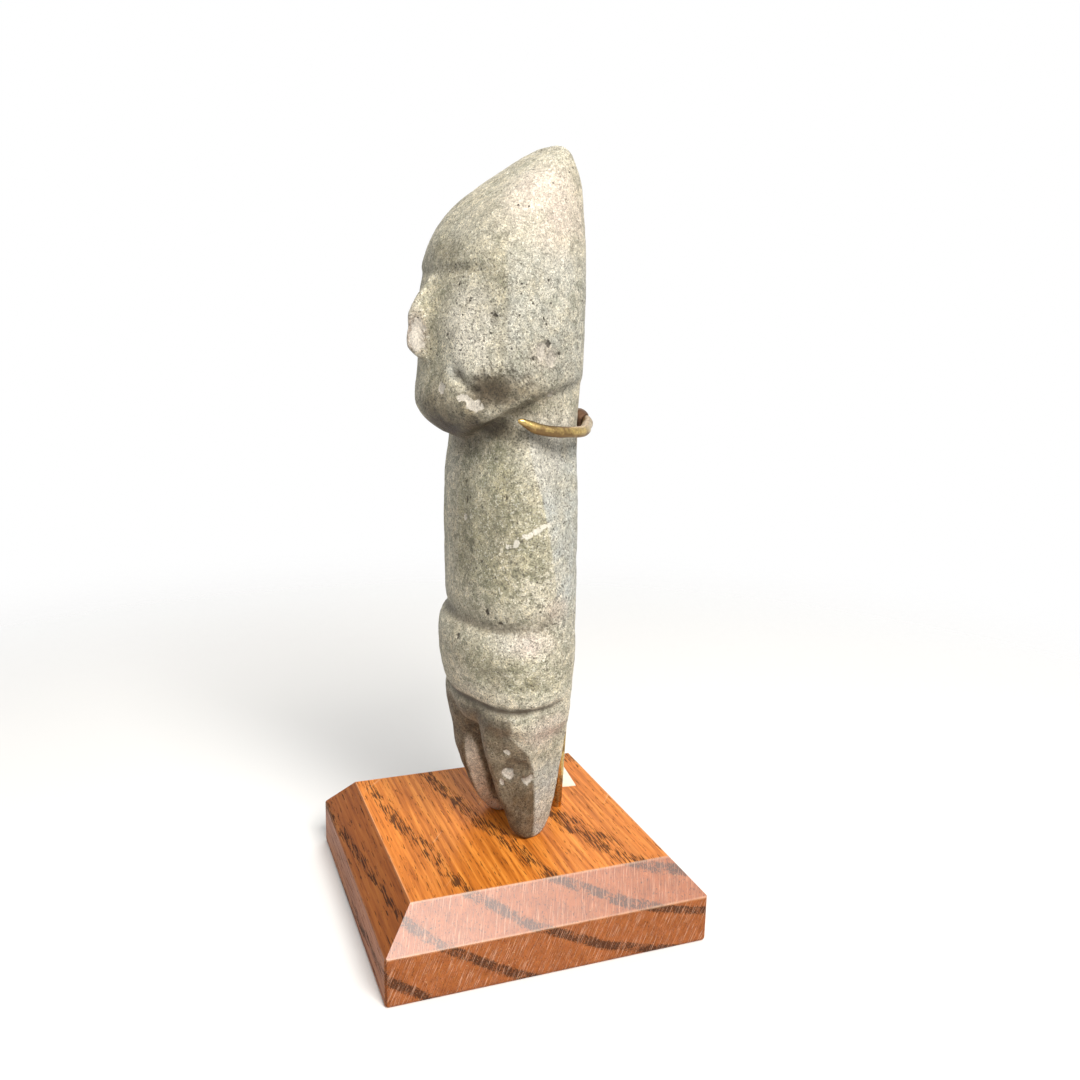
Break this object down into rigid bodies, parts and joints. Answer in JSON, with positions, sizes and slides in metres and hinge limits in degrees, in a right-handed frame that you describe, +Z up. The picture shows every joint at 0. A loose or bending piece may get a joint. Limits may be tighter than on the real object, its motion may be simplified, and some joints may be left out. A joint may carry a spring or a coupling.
{
  "type": "mounted stone figure",
  "caption": "Carved stone celt figure with sloping head, banded hips and split legs, held upright on a bevelled wooden block by a brass rod and an open wire collar.",
  "frame": {"origin": "centre of the wooden block's underside", "axes": "+Z up, -Y towards the side that the figure faces, +X towards the figure's left"},
  "size_m": [0.075, 0.075, 0.1764],
  "materials": {
    "oak": "satin varnish over open-grained oak",
    "stone": "worn, finely granular grey-green stone",
    "brass": "aged, lightly polished",
    "braze": "rough, coppery brown",
    "label": "matt, blank"
  },
  "bodies": {
    "stand": {"wood_base": "oak", "upright_rod": "brass", "neck_collar": "brass", "solder_joint": "braze", "paper_label": "label"},
    "figure": {"stone_figure": "stone"}
  },
  "joints": [
    {"name": "figure_out", "type": "slide", "parent": "stand", "child": "figure", "axis": [0.1219, -0.9925, 0], "range_m": [0, 0.03]}
  ]
}
